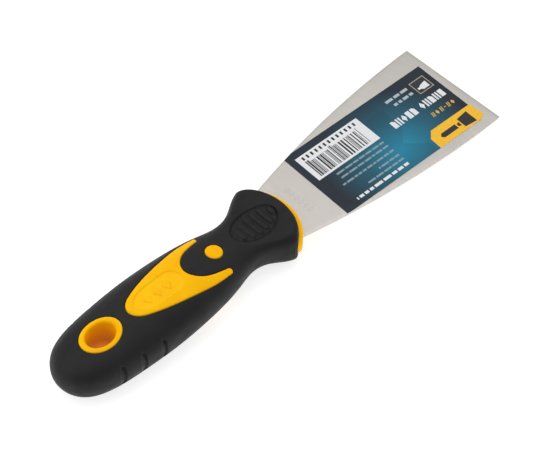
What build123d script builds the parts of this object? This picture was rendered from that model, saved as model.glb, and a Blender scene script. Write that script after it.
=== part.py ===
from build123d import *
import math
import os

# Two-inch putty knife: a stiff stainless blade whose tang is held in a two-colour moulded handle.
# Millimetres. While modelling, X = 0 is the blade's working edge, the handle runs towards -X,
# Y is across the blade and Z = 0 is the middle of the blade's thickness.
# At the end every piece is moved so that the origin is under the middle of the whole knife.

# ---- Overall ----
OVERALL_LENGTH = 212.0

# ---- Blade and tang ----
EDGE_WIDTH = 50.8
BLADE_THICKNESS = 0.9
BLADE_SIDE_RADIUS = 440.0
BLADE_CORNER_RADIUS = 0.5
EDGE_BEVEL_LENGTH = 1.6
EDGE_BEVEL_DEPTH = 0.25
BEVEL_OVERRUN = 1.0
SHOULDER_X = -103.0
TANG_HALF_WIDTH = 6.5
TANG_END_X = -170.0
TANG_BEND_RADIUS = 3.0
SHOULDER_HEADING = (-1.0, -0.3)
TANG_HEADING = (-1.0, 0.0)

# ---- Handle outside: X, half-width, half-thickness, fullness of the section's corners ----
# Each quarter of a section is one cubic curve, and fullness is the length of its handles:
# 0.55 is an ellipse, 1 is nearly a rectangle.
HANDLE_SECTIONS = (
    (-212.0, 2.2, 1.9, 0.58),
    (-210.8, 5.6, 4.8, 0.60),
    (-207.5, 9.85, 7.6, 0.65),
    (-202.0, 12.9, 9.3, 0.67),
    (-194.0, 14.8, 10.1, 0.68),
    (-183.0, 15.85, 10.5, 0.68),
    (-169.0, 16.5, 10.6, 0.68),
    (-155.0, 16.1, 10.3, 0.68),
    (-142.0, 14.9, 9.4, 0.69),
    (-132.0, 13.0, 8.1, 0.71),
    (-124.0, 11.2, 7.4, 0.75),
    (-116.5, 12.3, 7.7, 0.81),
    (-110.0, 15.9, 8.3, 0.90),
    (-104.5, 17.5, 8.6, 0.95),
    (-97.0, 16.8, 8.3, 0.95),
)
GRIP_WALL = 2.3

# ---- Front of the handle: two upright cylinders give the bowed front faces ----
FRONT_BOW_RADIUS = 21.3
FRONT_BOW_HALF_WIDTH = 20.7
GRIP_FRONT_X = -97.7
COLLAR_FRONT_X = -95.5
COLLAR_HALF_WIDTH = 16.8
COLLAR_HALF_THICKNESS = 4.8
COLLAR_FULLNESS = 0.97
COLLAR_EDGE_ROUND = 0.6
COLLAR_BLANK_XS = (-112.0, -90.0)

# ---- Thumb rests, one on each face ----
# The hollow is the bottom of an egg that is wider across the knife than along it.
THUMB_X = -112.8
THUMB_HALF_LENGTH = 31.5
THUMB_HALF_WIDTH = 39.5
THUMB_HALF_HEIGHT = 30.0
THUMB_FLOOR_Z = 5.9
THUMB_WALL = 2.0
PAD_X = -113.3
PAD_HALF_LENGTH = 10.5
PAD_HALF_WIDTH = 6.6
PAD_DEPTH = 0.6
RIDGE_COUNT = 6
RIDGE_PITCH = 3.35
RIDGE_WIDTH = 2.0
RIDGE_HEIGHT = 0.5
RIDGE_MARGIN = 0.9

# ---- Finger grooves, three on each side ----
GROOVE_XS = (-193.2, -183.8, -174.4)
GROOVE_WIDTH = 2.2
GROOVE_DEPTH = 0.8
GROOVE_HALF_HEIGHT = 5.4

# ---- Yellow inlays: outline in plan, one half, from the butt end to the prong and the notch ----
INLAY_TAIL_X = -177.5
INLAY_OUTER = ((-176.3, 3.05), (-171.5, 5.9), (-162.0, 8.6), (-152.0, 10.4), (-143.0, 11.35), (-135.45, 11.1))
INLAY_PRONG_TIP = (-134.3, 9.95)
INLAY_INNER = ((-135.6, 8.8), (-140.0, 8.1), (-144.0, 6.95), (-147.6, 4.3))
INLAY_NOTCH_X = -149.4
INLAY_GAP = 0.12
BADGE_TAIL_X = -174.6
BADGE_NOSE_X = -151.6
BADGE_HALF_WIDTH = 5.1
BADGE_SIDE = ((-164.0, 4.9), (-171.6, 3.4))
BADGE_DEPTH = 0.5

# ---- Caps and rivets ----
CAP_X = -134.3
CAP_RADIUS = 3.45
RIVET_RADIUS = 2.0
RIVET_HEAD_RADIUS = 3.2
RIVET_HEAD_THICKNESS = 1.0
FRONT_RIVET_HALF_LENGTH = 5.6
REAR_RIVET_X = -160.0
REAR_RIVET_HALF_LENGTH = 7.6

# ---- Hang hole ----
HANG_X = -191.1
HANG_RIM_HALF_LENGTH = 8.8
HANG_RIM_HALF_WIDTH = 6.8
HANG_HOLE_HALF_LENGTH = 6.2
HANG_HOLE_HALF_WIDTH = 4.8

# ---- Plane that the knife lies on: it touches the belly, and rises towards the thumb rest ----
REST_X = -174.6
REST_Z = -10.474
REST_TILT = 1.53

# ---- Label on the blade ----
LABEL_LENGTH = 75.3
LABEL_WIDTH = 37.2
LABEL_THICKNESS = 0.12
LABEL_X = -41.8
LABEL_Y = -1.1
LABEL_TURN = -2.4
LABEL_MARGIN = 0.25
# The plate's corner of the label reaches a little past its front end, in the label's own axes.
PLATE_OUTLINE = (
    (38.2, -9.7),
    (38.95, -17.2),
    (36.0, -18.6),
    (13.1, -18.6),
    (13.4, -12.8),
    (16.5, -9.6),
)

REACH = 60.0


def section_wire(x, half_width, half_thickness, fullness):
    """A closed four-quarter section across the handle at X = x."""
    a = half_width
    b = half_thickness
    k = fullness
    quarters = []
    for sy, sz in ((1, 1), (-1, 1), (-1, -1), (1, -1)):
        side = Vector(x, sy * a, 0)
        side_pull = Vector(x, sy * a, sz * k * b)
        crown_pull = Vector(x, sy * k * a, sz * b)
        crown = Vector(x, 0, sz * b)
        if sy * sz > 0:
            quarters.append(Edge.make_bezier(side, side_pull, crown_pull, crown))
        else:
            quarters.append(Edge.make_bezier(crown, crown_pull, side_pull, side))
    return Wire(quarters)


def section_face(x, half_width, half_thickness, fullness):
    return Face(section_wire(x, half_width, half_thickness, fullness))


def drawn_in_sections(inset):
    """The handle's sections, each moved square to its own side by inset."""
    sections = []
    last = len(HANDLE_SECTIONS) - 1
    for i, (x, half_width, half_thickness, fullness) in enumerate(HANDLE_SECTIONS):
        behind = HANDLE_SECTIONS[max(i - 1, 0)]
        ahead = HANDLE_SECTIONS[min(i + 1, last)]
        slope = (ahead[1] - behind[1]) / (ahead[0] - behind[0])
        length = math.hypot(1, slope)
        a = half_width - inset / length
        b = half_thickness - inset / length
        sections.append((x + inset * slope / length, a, b, fullness))
    return sections


def handle_body(inset):
    """The handle's outside, drawn in by inset."""
    return loft([section_face(*section) for section in drawn_in_sections(inset)])


def upright(face):
    """A prism through the whole thickness of the knife from a face drawn on the XY plane."""
    return extrude(Pos(0, 0, -REACH / 2) * face, REACH)


def oval(center_x, half_length, half_width):
    return upright(Pos(center_x, 0) * make_face(Edge.make_ellipse(half_length, half_width)))


def behind_bow(front_x):
    """Everything behind an upright bowed face whose foremost line is at X = front_x."""
    y = FRONT_BOW_HALF_WIDTH
    x = front_x - FRONT_BOW_RADIUS + math.sqrt(FRONT_BOW_RADIUS**2 - y**2)
    bow = ThreePointArc((x, y), (front_x, 0), (x, -y))
    rear = Polyline((x, -y), (x - 2 * REACH, -y), (x - 2 * REACH, y), (x, y))
    return upright(make_face([bow, rear]))


def turned_over(shape):
    """The same shape on the back of the knife."""
    return mirror(shape, about=Plane.XY)


def there_and_back(half, middle):
    """A half outline's points, then the point on the centre line, then the half mirrored in Y."""
    other = [Vector(p.X, -p.Y) for p in reversed(half)]
    return half + [middle] + other


def forked_plate(inset):
    """The forked inlay in plan, drawn in by inset, from Z = 0 up past the handle."""
    outer = [Vector(x, y - inset) for x, y in reversed(INLAY_OUTER)]
    inner = [Vector(x, y + inset) for x, y in INLAY_INNER]
    tip = Vector(INLAY_PRONG_TIP[0] - inset, INLAY_PRONG_TIP[1])
    low_tip = Vector(tip.X, -tip.Y)
    rim = Spline(*there_and_back(outer, Vector(INLAY_TAIL_X + inset, 0)))
    notch = Spline(*there_and_back(inner, Vector(INLAY_NOTCH_X - inset, 0)))
    prong = ThreePointArc(rim @ 0, tip, notch @ 0)
    low_prong = ThreePointArc(rim @ 1, low_tip, notch @ 1)
    return extrude(make_face([rim, notch, prong, low_prong]), REACH / 2)


def badge_plate():
    """The badge sunk in the inlay in plan: a drop, round at the front, from Z = 0 up."""
    nose_x = BADGE_NOSE_X - BADGE_HALF_WIDTH
    top = Vector(nose_x, BADGE_HALF_WIDTH)
    low = Vector(nose_x, -BADGE_HALF_WIDTH)
    side = [top] + [Vector(x, y) for x, y in BADGE_SIDE]
    rim = Spline(*there_and_back(side, Vector(BADGE_TAIL_X, 0)))
    nose = ThreePointArc(top, Vector(BADGE_NOSE_X, 0), low)
    return extrude(make_face([rim, nose]), REACH / 2)


def blade_plan():
    """The blade and tang in plan."""
    centre_y = EDGE_WIDTH / 2 - BLADE_SIDE_RADIUS

    def side_y(x):
        return centre_y + math.sqrt(BLADE_SIDE_RADIUS**2 - x**2)

    neck_x = SHOULDER_X + TANG_BEND_RADIUS
    corner = Vector(0, EDGE_WIDTH / 2)
    middle = Vector(neck_x / 2, side_y(neck_x / 2))
    shoulder = Vector(neck_x, side_y(neck_x))
    tang_front = Vector(SHOULDER_X - TANG_BEND_RADIUS, TANG_HALF_WIDTH)
    tang_rear = Vector(TANG_END_X + TANG_HALF_WIDTH, TANG_HALF_WIDTH)
    side = ThreePointArc(corner, middle, shoulder)
    step = Spline(shoulder, tang_front, tangents=[SHOULDER_HEADING, TANG_HEADING])
    run = Line(tang_front, tang_rear)
    half = [side, step, run]
    other = [mirror(edge, about=Plane.XZ) for edge in half]
    edge_line = Line(corner, Vector(0, -EDGE_WIDTH / 2))
    round_end = ThreePointArc(
        tang_rear,
        Vector(TANG_END_X, 0),
        Vector(tang_rear.X, -TANG_HALF_WIDTH),
    )
    return make_face(half + [round_end] + other + [edge_line])


def make_blade():
    plan = blade_plan()
    plate = extrude(Pos(0, 0, -BLADE_THICKNESS / 2) * plan, BLADE_THICKNESS)
    corners = plate.edges().filter_by(Axis.Z).sort_by(Axis.X)[-2:]
    plate = fillet(corners, BLADE_CORNER_RADIUS)
    half = BLADE_THICKNESS / 2
    low_z = half - EDGE_BEVEL_DEPTH * (1 + BEVEL_OVERRUN / EDGE_BEVEL_LENGTH)
    wedge = Polyline(
        (-EDGE_BEVEL_LENGTH, half),
        (BEVEL_OVERRUN, low_z),
        (BEVEL_OVERRUN, half + BEVEL_OVERRUN),
        (-EDGE_BEVEL_LENGTH, half + BEVEL_OVERRUN),
        close=True,
    )
    wedge_face = Plane.XZ * make_face(wedge)
    bevel = extrude(wedge_face, REACH, both=True)
    plate = plate - bevel - turned_over(bevel)
    for x in (CAP_X, REAR_RIVET_X):
        plate = plate - Pos(x, 0) * Cylinder(RIVET_RADIUS, REACH)
    return plate


def make_rivet(x, half_length):
    """A tubular-rivet outline: a shank through the tang with a flat head on each side of the core."""
    shank = Cylinder(RIVET_RADIUS, 2 * half_length)
    head_z = half_length - RIVET_HEAD_THICKNESS / 2
    head = Pos(0, 0, head_z) * Cylinder(RIVET_HEAD_RADIUS, RIVET_HEAD_THICKNESS)
    return Pos(x, 0) * (shank + head + turned_over(head))


def make_label():
    sheet = Rectangle(LABEL_LENGTH, LABEL_WIDTH)
    sheet = sheet + make_face(Polyline(*PLATE_OUTLINE, close=True))
    sheet = Pos(LABEL_X, LABEL_Y) * Rot(0, 0, LABEL_TURN) * sheet
    on_blade = offset(blade_plan(), -LABEL_MARGIN)
    sheet = sheet & on_blade
    return extrude(Pos(0, 0, BLADE_THICKNESS / 2) * sheet, LABEL_THICKNESS)


def thumb_scoop(floor_z):
    """The dish of a thumb rest, with its lowest point at floor_z."""
    half_axes = (THUMB_HALF_LENGTH, THUMB_HALF_WIDTH, THUMB_HALF_HEIGHT)
    return Pos(THUMB_X, 0, floor_z + THUMB_HALF_HEIGHT) * scale(Sphere(1), by=half_axes)


def thumb_pad():
    """What is cut below the scoop: an oval pocket, less the ridges that stay standing across it."""
    floor_z = THUMB_FLOOR_Z - PAD_DEPTH
    pocket = oval(PAD_X, PAD_HALF_LENGTH, PAD_HALF_WIDTH)
    pocket = pocket & Pos(PAD_X, 0, floor_z + REACH / 2) * Box(REACH, REACH, REACH)
    for i in range(RIDGE_COUNT):
        aside = (i - (RIDGE_COUNT - 1) / 2) * RIDGE_PITCH
        reach_y = PAD_HALF_WIDTH * math.sqrt(1 - (aside / PAD_HALF_LENGTH) ** 2) - RIDGE_MARGIN
        bar = extrude(SlotOverall(2 * reach_y, RIDGE_WIDTH, rotation=90), RIDGE_HEIGHT)
        pocket = pocket - Pos(PAD_X + aside, 0, floor_z) * bar
    return pocket


def finger_grooves(outer):
    """Short slots that wrap round both sides of the handle near the butt."""
    inner = handle_body(GROOVE_DEPTH)
    skin = outer - inner
    cutters = None
    for x in GROOVE_XS:
        slab = Pos(x, 0) * Box(GROOVE_WIDTH, 2 * REACH, 2 * GROOVE_HALF_HEIGHT)
        bite = skin & slab
        cutters = bite if cutters is None else cutters + bite
    return cutters


def under_rest():
    """All that lies under the plane on which the turned-over belly and thumb rest stand."""
    below = Pos(0, 0, -REACH / 2) * Box(2 * OVERALL_LENGTH, REACH, REACH)
    return Pos(REST_X, 0, REST_Z) * Rot(0, -REST_TILT, 0) * below


def make_collar():
    body = loft(
        [
            section_face(x, COLLAR_HALF_WIDTH, COLLAR_HALF_THICKNESS, COLLAR_FULLNESS)
            for x in COLLAR_BLANK_XS
        ]
    )
    plate = (body & behind_bow(COLLAR_FRONT_X)) - behind_bow(GRIP_FRONT_X)
    front_face = plate.faces().sort_by(Axis.X)[-1]
    return fillet(front_face.edges(), COLLAR_EDGE_ROUND)


os.makedirs("parts", exist_ok=True)

outer = handle_body(0.0)
inner = handle_body(GRIP_WALL)
behind_front = behind_bow(GRIP_FRONT_X)
handle_space = outer & behind_front
core_dish = thumb_scoop(THUMB_FLOOR_Z - THUMB_WALL)
core_space = (inner & behind_front) - core_dish - turned_over(core_dish)
shell = handle_space - core_space

blade = make_blade()
front_rivet = make_rivet(CAP_X, FRONT_RIVET_HALF_LENGTH)
rear_rivet = make_rivet(REAR_RIVET_X, REAR_RIVET_HALF_LENGTH)

hang_outer = oval(HANG_X, HANG_RIM_HALF_LENGTH, HANG_RIM_HALF_WIDTH)
hang_inner = oval(HANG_X, HANG_HOLE_HALF_LENGTH, HANG_HOLE_HALF_WIDTH)
liner = (handle_space & hang_outer) - hang_inner

cap_bore = Pos(CAP_X, 0) * Cylinder(CAP_RADIUS, REACH)
cap_plug = Pos(CAP_X, 0, REACH / 4) * Cylinder(CAP_RADIUS - INLAY_GAP, REACH / 2)
front_cap = (handle_space & cap_plug) - core_space

window = forked_plate(0.0)
front_inlay = (handle_space & forked_plate(INLAY_GAP)) - core_space
badge_recess = badge_plate() - handle_body(BADGE_DEPTH)
front_inlay = front_inlay - badge_recess

core = core_space - hang_outer - blade - front_rivet - rear_rivet

scoop = thumb_scoop(THUMB_FLOOR_Z)
pad = thumb_pad()
grip = shell - hang_outer - cap_bore - window - turned_over(window)
grip = grip - scoop - turned_over(scoop) - pad - turned_over(pad)
grip = grip - finger_grooves(outer)

# The knife lies on its back, so the belly and the thumb rest are a little flat there.
rest_cut = under_rest()
grip = grip - rest_cut
back_inlay = turned_over(front_inlay) - rest_cut

collar = make_collar() - blade

pieces = {
    "blade": blade,
    "handle_core": core,
    "soft_grip": grip,
    "front_collar": collar,
    "front_inlay": front_inlay,
    "back_inlay": back_inlay,
    "front_rivet_cap": front_cap,
    "back_rivet_cap": turned_over(front_cap),
    "front_tang_rivet": front_rivet,
    "rear_tang_rivet": rear_rivet,
    "hang_hole_liner": liner,
    "blade_label": make_label(),
}

lowest_z = min(shape.bounding_box().min.Z for shape in pieces.values())
to_row_frame = Pos(OVERALL_LENGTH / 2, 0, -lowest_z)
for name, shape in pieces.items():
    export_step(to_row_frame * shape, f"parts/{name}.step")
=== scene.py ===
import math
import random

import bpy
import numpy as np
from mathutils import Matrix, Vector
from mathutils.geometry import delaunay_2d_cdt


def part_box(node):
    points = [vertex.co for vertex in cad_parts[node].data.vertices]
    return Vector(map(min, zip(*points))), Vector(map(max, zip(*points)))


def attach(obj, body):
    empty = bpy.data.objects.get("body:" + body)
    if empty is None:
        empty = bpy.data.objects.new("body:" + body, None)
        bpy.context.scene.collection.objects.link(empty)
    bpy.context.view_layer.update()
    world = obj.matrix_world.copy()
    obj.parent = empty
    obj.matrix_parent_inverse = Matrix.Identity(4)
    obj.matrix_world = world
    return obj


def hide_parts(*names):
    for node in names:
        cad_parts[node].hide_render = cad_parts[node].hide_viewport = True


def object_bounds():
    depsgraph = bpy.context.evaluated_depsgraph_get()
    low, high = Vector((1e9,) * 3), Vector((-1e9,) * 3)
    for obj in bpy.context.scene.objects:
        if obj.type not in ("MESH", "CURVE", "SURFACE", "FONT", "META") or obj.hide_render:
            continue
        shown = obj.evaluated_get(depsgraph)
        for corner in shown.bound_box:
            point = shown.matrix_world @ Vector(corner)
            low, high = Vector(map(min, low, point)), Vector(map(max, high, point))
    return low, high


# A two-inch putty knife lying on its handle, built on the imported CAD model.
# Shapes are worked out in millimetres, with X = 0 at the blade's working edge, the handle towards -X
# and Z = 0 in the middle of the blade; to_row moves them into the CAD model's own frame.

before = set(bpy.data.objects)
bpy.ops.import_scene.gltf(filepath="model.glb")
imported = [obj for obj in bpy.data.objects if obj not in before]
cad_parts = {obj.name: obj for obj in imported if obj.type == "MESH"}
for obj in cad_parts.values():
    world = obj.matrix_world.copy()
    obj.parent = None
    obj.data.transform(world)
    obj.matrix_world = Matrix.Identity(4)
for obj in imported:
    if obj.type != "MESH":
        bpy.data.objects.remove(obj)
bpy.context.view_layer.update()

MM = 0.001
blade_low, blade_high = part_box("blade")
EDGE_X = blade_high.x
MIDDLE_Z = (blade_low.z + blade_high.z) / 2


def to_row(points):
    """Millimetres about the middle of the working edge to metres in the CAD model's frame."""
    return np.asarray(points, float) * MM + np.array([EDGE_X, 0.0, MIDDLE_Z])


# ---------------------------------------------------------------- curves

def through(knots, values):
    """The natural cubic spline that takes the given values at the knots."""
    knots = np.asarray(knots, float)
    values = np.asarray(values, float)
    count = len(knots)
    step = np.diff(knots)
    matrix = np.eye(count)
    right = np.zeros(count)
    for i in range(1, count - 1):
        matrix[i, i - 1 : i + 2] = step[i - 1], 2 * (step[i - 1] + step[i]), step[i]
        right[i] = 6 * ((values[i + 1] - values[i]) / step[i] - (values[i] - values[i - 1]) / step[i - 1])
    bend = np.linalg.solve(matrix, right)

    def at(t):
        t = np.asarray(t, float)
        i = np.clip(np.searchsorted(knots, t, side="right") - 1, 0, count - 2)
        h = step[i]
        before = knots[i + 1] - t
        after = t - knots[i]
        cubic = (bend[i] * before**3 + bend[i + 1] * after**3) / (6 * h)
        first = (values[i] / h - bend[i] * h / 6) * before
        second = (values[i + 1] / h - bend[i + 1] * h / 6) * after
        return cubic + first + second

    return at


def smooth_line(points, spacing):
    """A smooth line in plan through the points, divided evenly."""
    points = np.asarray(points, float)
    chord = np.r_[0, np.cumsum(np.linalg.norm(np.diff(points, axis=0), axis=1))]
    x = through(chord, points[:, 0])
    y = through(chord, points[:, 1])
    t = np.linspace(0, chord[-1], max(3, int(chord[-1] / spacing)))
    return np.c_[x(t), y(t)]


def arc_through(a, b, c, count):
    """Points on the circle through a, b and c, from a to c by way of b."""
    a, b, c = (np.asarray(p, float) for p in (a, b, c))
    rows = 2 * np.array([b - a, c - a])
    centre = np.linalg.solve(rows, np.array([b @ b - a @ a, c @ c - a @ a]))
    angle = [math.atan2(*(p - centre)[::-1]) for p in (a, b, c)]
    to_b = (angle[1] - angle[0]) % math.tau
    to_c = (angle[2] - angle[0]) % math.tau
    turn = to_c if to_b < to_c else to_c - math.tau
    radius = np.linalg.norm(a - centre)
    t = angle[0] + np.linspace(0, 1, count) * turn
    return centre + radius * np.c_[np.cos(t), np.sin(t)]


# ---------------------------------------------------------------- the handle's outside

# X, half-width, half-thickness, fullness of the section's corners, from the butt to the front.
HANDLE_SECTIONS = (
    (-212.25, 0.0, 0.0, 0.58),
    (-212.0, 2.2, 1.9, 0.58),
    (-210.8, 5.6, 4.8, 0.60),
    (-207.5, 9.85, 7.6, 0.65),
    (-202.0, 12.9, 9.3, 0.67),
    (-194.0, 14.8, 10.1, 0.68),
    (-183.0, 15.85, 10.5, 0.68),
    (-169.0, 16.5, 10.6, 0.68),
    (-155.0, 16.1, 10.3, 0.68),
    (-142.0, 14.9, 9.4, 0.69),
    (-132.0, 13.0, 8.1, 0.71),
    (-124.0, 11.2, 7.4, 0.75),
    (-116.5, 12.3, 7.7, 0.81),
    (-110.0, 15.9, 8.3, 0.90),
    (-104.5, 17.5, 8.6, 0.95),
    (-97.0, 16.8, 8.3, 0.95),
)
BOW_RADIUS = 21.3
GRIP_FRONT_X = -97.7
FRONT_ROLL = 2.3
LIP_FRONT_X = -95.5
LIP_HALF_WIDTH = 16.8
LIP_HALF_THICKNESS = 4.8
LIP_FULLNESS = 1.0
LIP_ROUND = 0.9
LIP_GAP = 0.12

# The chart of a quarter of the skin: u is the distance from the butt in side view, which is
# stretched ahead of BOW_START_X, and v goes from 0 at the side to QUARTER on the crown.
QUARTER = 22.0
BOW_START_X = -126.0

THUMB_X = -112.8
THUMB_FLOOR_Z = 5.9
THUMB_RADIUS_ALONG = 33.0
THUMB_RADIUS_ACROSS = 52.0
THUMB_BLEND = 0.7

sections = np.array(HANDLE_SECTIONS)
run = np.r_[0, np.cumsum(np.hypot(np.diff(sections[:, 0]), np.diff(sections[:, 1])))]
mirrored_run = np.r_[-run[:0:-1], run]
section_x = through(mirrored_run, np.r_[sections[:0:-1, 0], sections[:, 0]])
section_a = through(mirrored_run, np.r_[-sections[:0:-1, 1], sections[:, 1]])
section_b = through(mirrored_run, np.r_[-sections[:0:-1, 2], sections[:, 2]])
section_k = through(run, sections[:, 3])

fine_run = np.linspace(0, run[-1], 4000)
fine_x = np.maximum.accumulate(section_x(fine_run))


def quarter_curve(a, b, k, w):
    """A quarter of a section: w is 0 at the side and 1 on the crown."""
    s = 1 - w
    y = a * (s**3 + 3 * s * s * w + 3 * s * w * w * k)
    z = b * (3 * s * s * w * k + 3 * s * w * w + w**3)
    return y, z


def dish_z(x, y):
    """The thumb rest's hollow, longer across the knife than along it."""
    along = (x - THUMB_X) ** 2 / (2 * THUMB_RADIUS_ALONG)
    across = y**2 / (2 * THUMB_RADIUS_ACROSS)
    return THUMB_FLOOR_Z + along + across


def bare_skin(t, w):
    """The handle's outside at distance t from the butt, before relief is added."""
    x = section_x(t)
    y, z = quarter_curve(section_a(t), section_b(t), section_k(t), w)
    dish = dish_z(x, y)
    mix = np.clip(0.5 + 0.5 * (dish - z) / THUMB_BLEND, 0, 1)
    z = dish * (1 - mix) + z * mix - THUMB_BLEND * mix * (1 - mix)
    return np.stack([x, y, z], axis=-1)


def bow_x(front, y):
    """The bowed front's X at Y, where front is its X on the centre line."""
    return front - BOW_RADIUS + np.sqrt(np.maximum(BOW_RADIUS**2 - y**2, 0))


HALVINGS = 45
NEARLY_ZERO = 1e-6
BOW_START = float(np.interp(BOW_START_X, fine_x, fine_run))
FRONT = float(np.interp(GRIP_FRONT_X, fine_x, fine_run))


def closed_in(low, high, is_past):
    """The ends low and high, brought together by halving about the place where is_past comes true."""
    for _ in range(HALVINGS):
        middle = (low + high) / 2
        past = is_past(middle)
        low = np.where(past, low, middle)
        high = np.where(past, middle, high)
    return low, high


def find_front(w):
    """Where the bowed front cuts the handle, as a distance from the butt, for each w."""

    def past_front(t):
        p = bare_skin(t, w)
        return p[..., 0] > bow_x(GRIP_FRONT_X, p[..., 1])

    return closed_in(np.full_like(w, BOW_START), np.full_like(w, run[-1]), past_front)[0]


front_w = np.linspace(0, 1, 600)
front_t = find_front(front_w)


def chart_to_run(u, w):
    """The chart's u runs from the butt to the bowed front, so that the front is a straight side of it."""
    end = np.interp(w, front_w, front_t)
    stretch = (u - BOW_START) / (FRONT - BOW_START)
    return np.where(u > BOW_START, BOW_START + stretch * (end - BOW_START), u)


def skin(u, v):
    """The place on the handle's outside of a place on the chart."""
    w = v / QUARTER
    return bare_skin(chart_to_run(u, w), w)


def skin_normal(u, v):
    """The outward normal of the handle at a place on the chart."""
    h = 0.02
    u0, u1 = np.maximum(u - h, 0.05), np.minimum(u + h, FRONT)
    v0, v1 = np.maximum(v - h, 0), np.minimum(v + h, QUARTER)
    along = skin(u1, v) - skin(u0, v)
    up = skin(u, v1) - skin(u, v0)
    normal = np.cross(up, along)
    normal[..., 1] = np.where(v >= QUARTER, 0, normal[..., 1])
    normal[..., 2] = np.where(v <= 0, 0, normal[..., 2])
    return normal / np.maximum(np.linalg.norm(normal, axis=-1, keepdims=True), 1e-12)


def plan_to_chart(plan):
    """Chart places of points given in plan on the upper half."""
    plan = np.asarray(plan, float)
    x, y = plan[:, 0], np.maximum(plan[:, 1], 0)
    t = np.interp(x, fine_x, fine_run)

    def past_point(w):
        return quarter_curve(section_a(t), section_b(t), section_k(t), w)[0] <= y

    low, high = closed_in(np.zeros_like(y), np.ones_like(y), past_point)
    w = np.where(y < NEARLY_ZERO, 1.0, (low + high) / 2)
    end = np.interp(w, front_w, front_t)
    u = np.where(t > BOW_START, BOW_START + (t - BOW_START) / (end - BOW_START) * (FRONT - BOW_START), t)
    return np.c_[u, w * QUARTER]


def top_z(plan):
    """The height of the handle's top at points given in plan."""
    chart = plan_to_chart(np.c_[plan[:, 0], np.abs(plan[:, 1])])
    return skin(chart[:, 0], chart[:, 1])[:, 2]


def moved_on_skin(plan, distance):
    """A half outline in plan moved sideways along the skin. Positive is to the left of its run."""
    chart = plan_to_chart(plan)
    place = skin(chart[:, 0], chart[:, 1])
    normal = skin_normal(chart[:, 0], chart[:, 1])
    heading = np.gradient(place, axis=0)
    for i in (0, -1):
        if abs(plan[i][1]) < NEARLY_ZERO:
            heading[i] = [0, heading[i][1], 0]
    aside = np.cross(normal, heading)
    aside /= np.linalg.norm(aside, axis=1, keepdims=True)
    out = (place + distance * aside)[:, :2]
    for i in (0, -1):
        if abs(plan[i][1]) < NEARLY_ZERO:
            out[i, 1] = 0
    return out


# ---------------------------------------------------------------- outlines on the handle

INLAY_TAIL_X = -177.5
INLAY_OUTER = (
    (-176.3, 3.05),
    (-171.5, 5.9),
    (-162.0, 8.6),
    (-152.0, 10.4),
    (-143.0, 11.35),
    (-135.45, 11.1),
)
INLAY_PRONG_TIP = (-134.3, 9.95)
INLAY_INNER = ((-135.6, 8.8), (-140.0, 8.1), (-144.0, 6.95), (-147.6, 4.3))
INLAY_NOTCH_X = -149.4
BADGE_TAIL_X = -174.6
BADGE_NOSE_X = -151.6
BADGE_HALF_WIDTH = 5.1
BADGE_MARK_XS = (-168.2, -163.4, -158.6)
CAP_X = -134.3
CAP_RADIUS = 3.45
HANG_X = -191.1
RIM_HALF = (8.8, 6.8)
HOLE_HALF = (6.2, 4.8)
LINE_STEP = 0.4


def symmetric_line(half, middle):
    """The half with positive Y of a smooth line that crosses the centre line at middle."""
    half = np.asarray(half, float)
    other = half[::-1] * [1, -1]
    line = smooth_line(np.vstack([half, [middle], other]), LINE_STEP)
    upper = line[line[:, 1] > LINE_STEP / 4]
    return np.vstack([upper, [middle]])


def inlay_half():
    """Half of the forked inlay's outline, from the tail round the prong to the notch."""
    outer = symmetric_line(INLAY_OUTER[::-1], (INLAY_TAIL_X, 0))[::-1]
    inner = symmetric_line(INLAY_INNER, (INLAY_NOTCH_X, 0))
    tip = arc_through(outer[-1], INLAY_PRONG_TIP, inner[0], 12)
    return np.vstack([outer, tip[1:-1], inner])


def badge_half():
    """Half of the badge's outline, a drop, from its tail to its round nose."""
    nose_x = BADGE_NOSE_X - BADGE_HALF_WIDTH
    side = ((nose_x, BADGE_HALF_WIDTH), (-164.0, 4.9), (BADGE_TAIL_X + 3.0, 3.4))
    flank = symmetric_line(side, (BADGE_TAIL_X, 0))[::-1]
    angle = np.linspace(math.pi / 2, 0, 16)
    nose = np.c_[nose_x + BADGE_HALF_WIDTH * np.cos(angle), BADGE_HALF_WIDTH * np.sin(angle)]
    nose[-1, 1] = 0
    return np.vstack([flank, nose[1:]])


def oval_half(x, half_length, half_width, count):
    """Half of an oval's outline, from its rear end to its front end."""
    angle = np.linspace(math.pi, 0, count)
    line = np.c_[x + half_length * np.cos(angle), half_width * np.sin(angle)]
    line[[0, -1], 1] = 0
    return line


# ---------------------------------------------------------------- relief on the grip

PAD_X = -113.3
PAD_HALF = (10.5, 6.6)
PAD_GROOVE_WIDTH = 0.32
PAD_GROOVE_DEPTH = 0.5
RIDGE_XS = [-120.9 + 3.35 * i for i in range(6)]
RIDGE_HALF_WIDTH = 1.05
RIDGE_HEIGHT = 0.7
RIDGE_MARGIN = 1.0
RIDGE_EDGE = 0.42
RIDGE_EDGE_OUTSIDE = 0.18
PAD_LOWEST_Z = 3.0
GROOVE_XS = (-193.2, -183.8, -174.4)
GROOVE_REACH = 5.8
GROOVE_END_ROUND = 1.5
GROOVE_FADE = 0.7
GROOVE_NEAREST_Y = 3.0
GROOVE_PROFILE_X = (-1.65, -1.4, 0.1, 0.55, 0.95, 1.15)
GROOVE_PROFILE_DEPTH = (0.0, 0.42, 0.55, 1.05, 0.95, 0.0)


def soft_step(x):
    """From 0 at 0 to 1 at 1, level at both ends."""
    x = np.clip(x, 0, 1)
    return x * x * (3 - 2 * x)


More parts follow.
